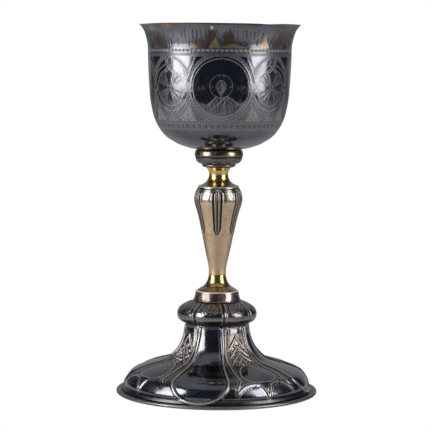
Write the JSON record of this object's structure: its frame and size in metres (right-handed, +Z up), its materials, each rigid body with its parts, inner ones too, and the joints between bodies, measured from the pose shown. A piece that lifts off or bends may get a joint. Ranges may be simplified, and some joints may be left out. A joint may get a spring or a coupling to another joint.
{
  "type": "chalice",
  "caption": "Footed ceremonial cup: flared hollow bowl on a turned knop, fluted baluster stem between gilt spools, and a lobed bell foot on a flat flange.",
  "frame": {"origin": "centre of the underside of the base flange", "axes": "+Z up the stem to the rim of the bowl, -Y towards the side with the main figure medallion"},
  "size_m": [0.1536, 0.1536, 0.28],
  "materials": {
    "dark_silver": "polished silver, dark blue-grey with tarnish, finely engraved",
    "flange_silver": "worn silver with brown tarnish and fine scratches",
    "warm_silver": "satin champagne silver with brown specks in the hollows",
    "gilt": "polished gilding"
  },
  "bodies": {
    "root": {"base_flange": "flange_silver", "foot": "dark_silver", "shoulder_ring": "dark_silver", "foot_collar": "warm_silver", "lower_spool": "gilt", "baluster": "warm_silver", "upper_spool": "gilt", "knop": "dark_silver", "bowl": "dark_silver"}
  },
  "joints": []
}
